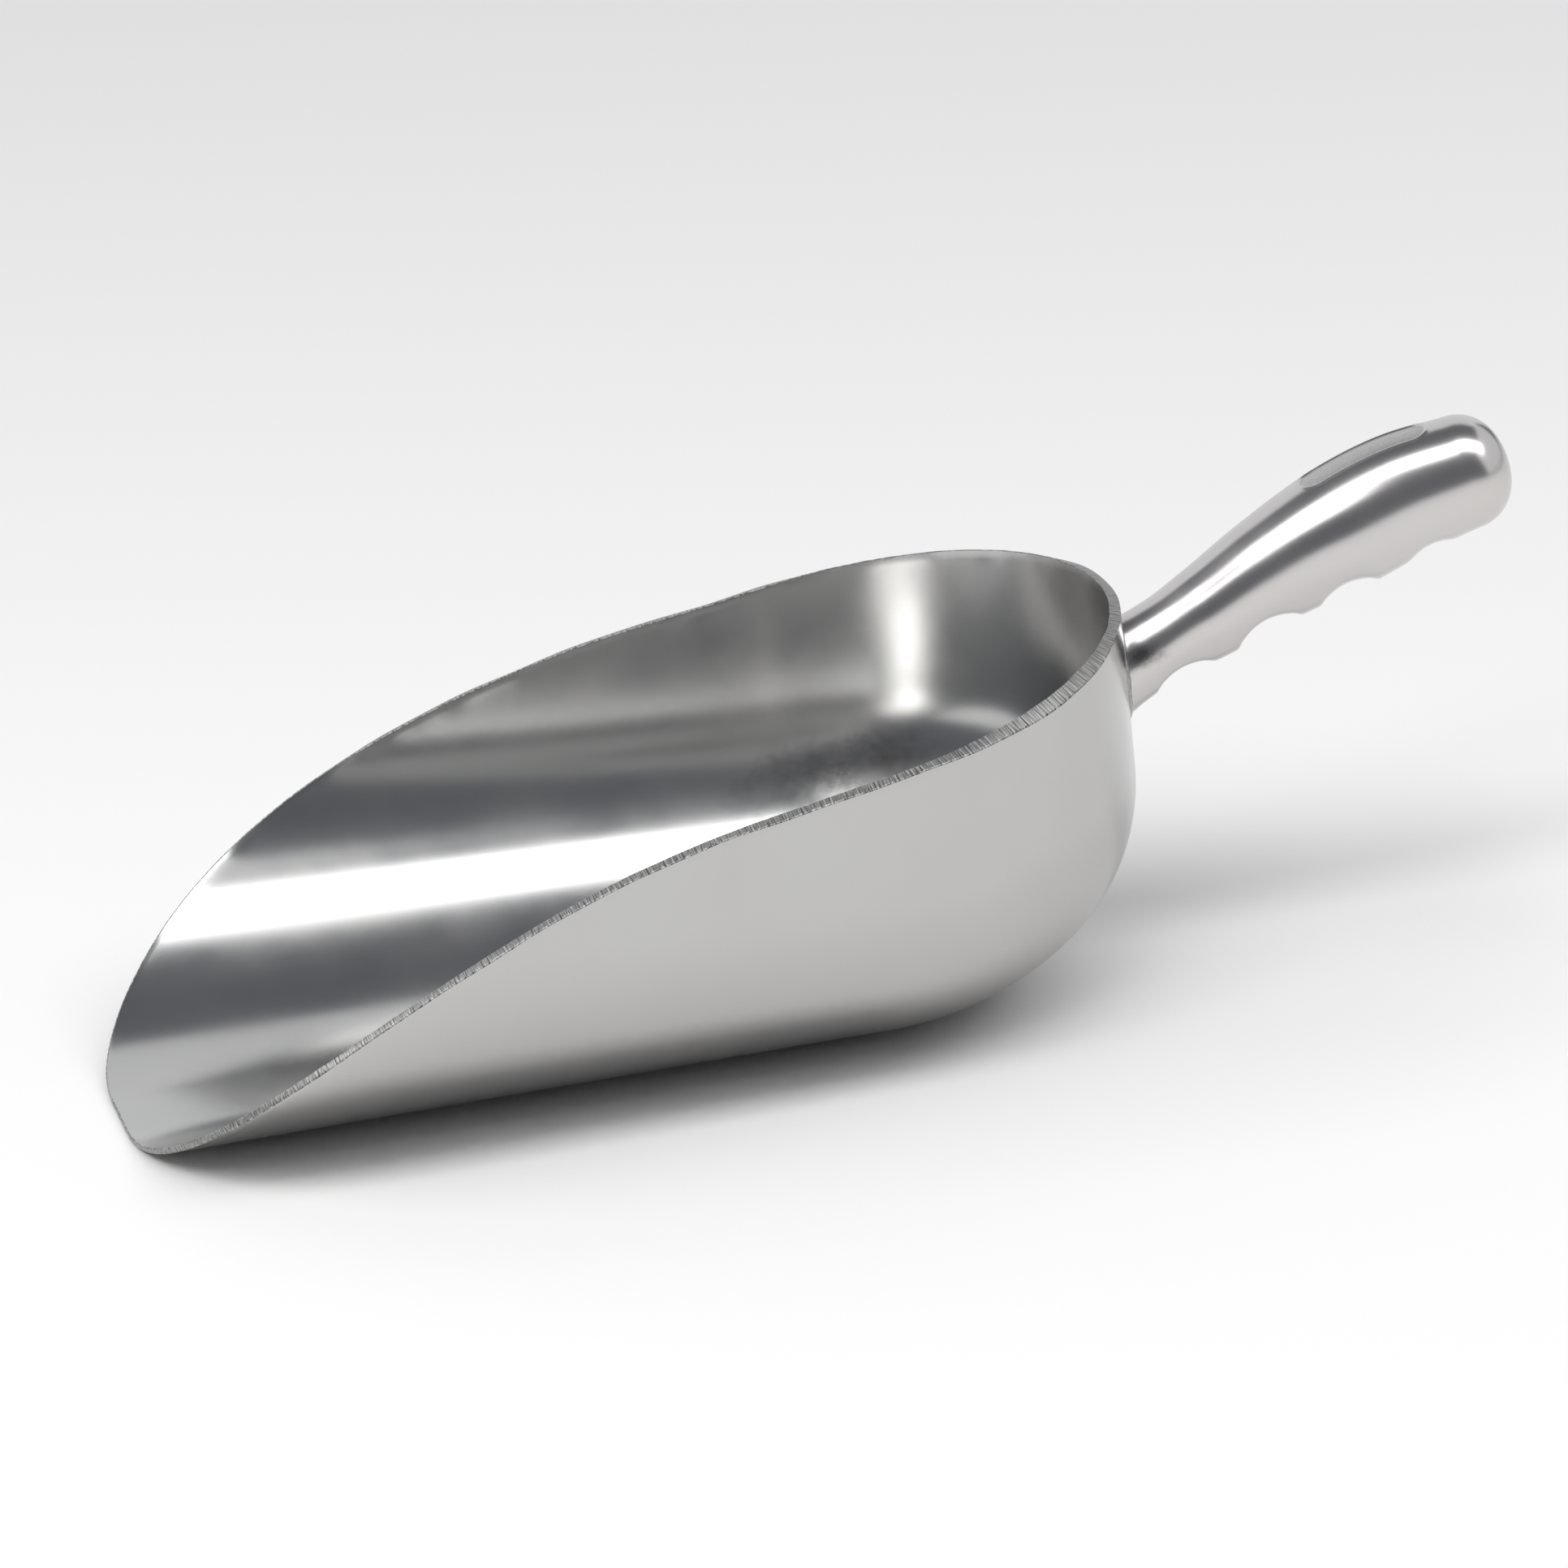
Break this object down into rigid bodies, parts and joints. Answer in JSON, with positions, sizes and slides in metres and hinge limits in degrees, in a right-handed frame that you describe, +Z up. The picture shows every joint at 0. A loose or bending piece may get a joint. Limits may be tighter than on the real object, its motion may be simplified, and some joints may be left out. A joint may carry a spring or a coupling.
{
  "type": "ice scoop",
  "caption": "Open cast aluminium ice scoop with a round back, a flat resting strip, a long sloping rim and a solid upswept handle with finger grooves",
  "frame": {"origin": "centre of the bounding box in plan, on the surface that the scoop rests on", "axes": "+X along the handle, away from the pouring lip; +Y across the bowl; +Z up"},
  "size_m": [0.3275, 0.146, 0.1139],
  "materials": {
    "polished_bowl": "polished cast aluminium with a filed edge",
    "polished_grip": "polished cast aluminium",
    "ground_weld": "ground, not polished, aluminium"
  },
  "bodies": {
    "root": {"bowl": "polished_bowl", "handle": "polished_grip", "weld_bead": "ground_weld"}
  },
  "joints": []
}
